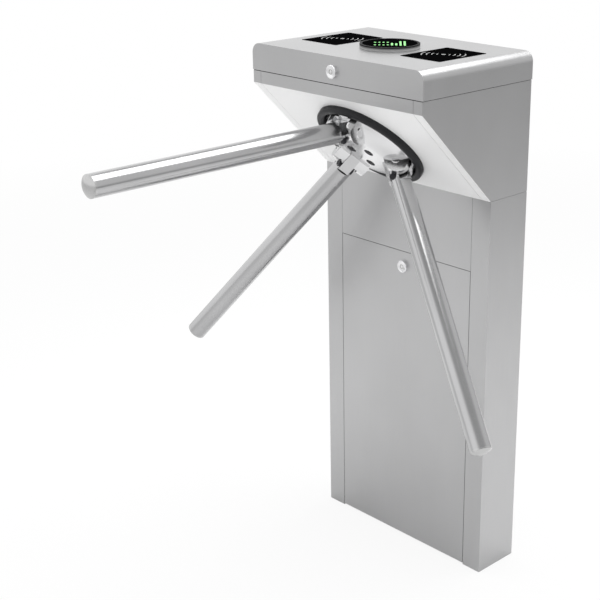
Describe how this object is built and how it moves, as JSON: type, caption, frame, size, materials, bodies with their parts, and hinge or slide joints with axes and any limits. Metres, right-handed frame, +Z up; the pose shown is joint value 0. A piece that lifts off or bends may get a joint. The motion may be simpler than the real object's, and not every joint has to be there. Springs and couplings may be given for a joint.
{
  "type": "tripod turnstile",
  "caption": "Slim sheet-metal turnstile: pedestal with an overhanging slanted head, lidded top with readers and indicator, and a leaning rotor with level and hanging tube arms.",
  "frame": {"origin": "on the floor, at the centre of the four anchor holes in the floor plate", "axes": "+Z up; the passage and the level arm are on the -Y side; +X is to the right of a person who faces the slanted front"},
  "size_m": [0.7906, 0.7916, 1.0065],
  "materials": {
    "brushed": "vertically brushed",
    "bright_panel": "bright satin",
    "galvanised": "zinc plated",
    "rubber": "matt moulded",
    "hinge_steel": "satin",
    "lock_chrome": "polished",
    "cam_steel": "zinc plated",
    "black_steel": "black oxide",
    "reader_glass": "glossy black",
    "dark_plastic": "moulded",
    "bezel_metal": "turned",
    "hub_chrome": "polished casting",
    "arm_steel": "polished tube",
    "cap_steel": "satin",
    "shaft_steel": "ground",
    "brass": "machined",
    "motor_paint": "painted",
    "board_green": "solder mask",
    "case_steel": "perforated case",
    "terminal_grey": "moulded"
  },
  "bodies": {
    "housing": {"base_plate": "galvanised", "pedestal_shell": "brushed", "front_panel": "brushed", "head_shell": "brushed", "slant_panel": "bright_panel", "opening_ring": "rubber", "lid_strike": "galvanised", "hinge_leaves_fixed": "hinge_steel", "hinge_pins": "hinge_steel", "bearing_housing": "galvanised", "shaft_bearings": "shaft_steel", "mechanism_plate": "galvanised", "plate_rails": "galvanised", "mechanism_posts": "galvanised", "rear_plate": "galvanised", "mechanism_screws": "cam_steel", "gearmotor": "motor_paint", "sensor_board": "board_green", "solenoids": "motor_paint", "solenoid_brackets": "galvanised", "equipment_carrier": "galvanised", "power_supply": "case_steel", "control_board": "board_green", "terminal_rail": "terminal_grey", "battery": "dark_plastic", "cable_grommet": "rubber"},
    "rotor": {"hub_casting": "hub_chrome", "hub_screws": "black_steel", "arm_stubs": "hub_chrome", "stub_bolts": "cam_steel", "arm_pivot_pins": "black_steel", "lower_arm_forks": "arm_steel", "lower_arm_tubes": "arm_steel", "lower_arm_caps": "cap_steel", "main_shaft": "shaft_steel", "shaft_nut": "cam_steel", "lock_wheel": "shaft_steel", "drive_gear": "brass", "encoder_disc": "dark_plastic"},
    "top_arm": {"top_arm_fork": "arm_steel", "top_arm_tube": "arm_steel", "top_arm_cap": "cap_steel"},
    "lid": {"lid_shell": "brushed", "hinge_leaves_lid": "hinge_steel", "lid_lock": "lock_chrome", "reader_windows": "reader_glass", "reader_modules": "dark_plastic", "indicator_bezel": "bezel_metal", "indicator_lens": "reader_glass"},
    "lid_cam": {"lid_lock_cam": "cam_steel"},
    "door": {"door_panel": "brushed", "door_pivot_pins": "hinge_steel", "door_lock": "lock_chrome"},
    "door_cam": {"door_lock_cam": "cam_steel"},
    "pinion": {"motor_pinion": "shaft_steel"},
    "pawl_left": {"lock_pawl_left": "brass"},
    "pawl_right": {"lock_pawl_right": "brass"},
    "plunger_left": {"solenoid_plunger_left": "shaft_steel"},
    "plunger_right": {"solenoid_plunger_right": "shaft_steel"}
  },
  "joints": [
    {"name": "hub_turn", "type": "hinge", "parent": "housing", "child": "rotor", "pos_m": [0, -0.13639, 0.83439], "axis": [0, -0.7071, -0.7071], "continuous": true},
    {"name": "arm_drop", "type": "hinge", "parent": "rotor", "child": "top_arm", "pos_m": [0, -0.21778, 0.85351], "axis": [1, 0, 0], "range_deg": [0, 90]},
    {"name": "lid_open", "type": "hinge", "parent": "housing", "child": "lid", "pos_m": [0, 0.0543, 0.9506], "axis": [-1, 0, 0], "range_deg": [0, 85]},
    {"name": "lid_lock_turn", "type": "hinge", "parent": "lid", "child": "lid_cam", "pos_m": [0, -0.21, 0.973], "axis": [0, 1, 0], "range_deg": [0, 90]},
    {"name": "door_open", "type": "hinge", "parent": "housing", "child": "door", "pos_m": [0, -0.044, 0.013], "axis": [1, 0, 0], "range_deg": [0, 90]},
    {"name": "door_lock_turn", "type": "hinge", "parent": "door", "child": "door_cam", "pos_m": [0, -0.03, 0.5795], "axis": [0, -1, 0], "range_deg": [0, 90]},
    {"name": "motor_turn", "type": "hinge", "parent": "housing", "child": "pinion", "pos_m": [0, -0.02609, 0.85561], "axis": [0, -0.7071, -0.7071], "continuous": true},
    {"name": "pawl_right_turn", "type": "hinge", "parent": "housing", "child": "pawl_right", "pos_m": [0.048, -0.05296, 0.86409], "axis": [0, -0.7071, -0.7071], "range_deg": [0, 13.5]},
    {"name": "pawl_left_turn", "type": "hinge", "parent": "housing", "child": "pawl_left", "pos_m": [-0.048, -0.05296, 0.86409], "axis": [0, 0.7071, 0.7071], "range_deg": [0, 13.5]},
    {"name": "plunger_right_pull", "type": "slide", "parent": "housing", "child": "plunger_right", "axis": [0, -0.7071, 0.7071], "range_m": [0, 0.0121]},
    {"name": "plunger_left_pull", "type": "slide", "parent": "housing", "child": "plunger_left", "axis": [0, -0.7071, 0.7071], "range_m": [0, 0.0121]}
  ],
  "couplings": [
    {"joint": "motor_turn", "follows": "hub_turn", "ratio": -2.5},
    {"joint": "plunger_right_pull", "follows": "pawl_right_turn", "m_per_rad": 0.050946},
    {"joint": "plunger_left_pull", "follows": "pawl_left_turn", "m_per_rad": 0.050946}
  ]
}
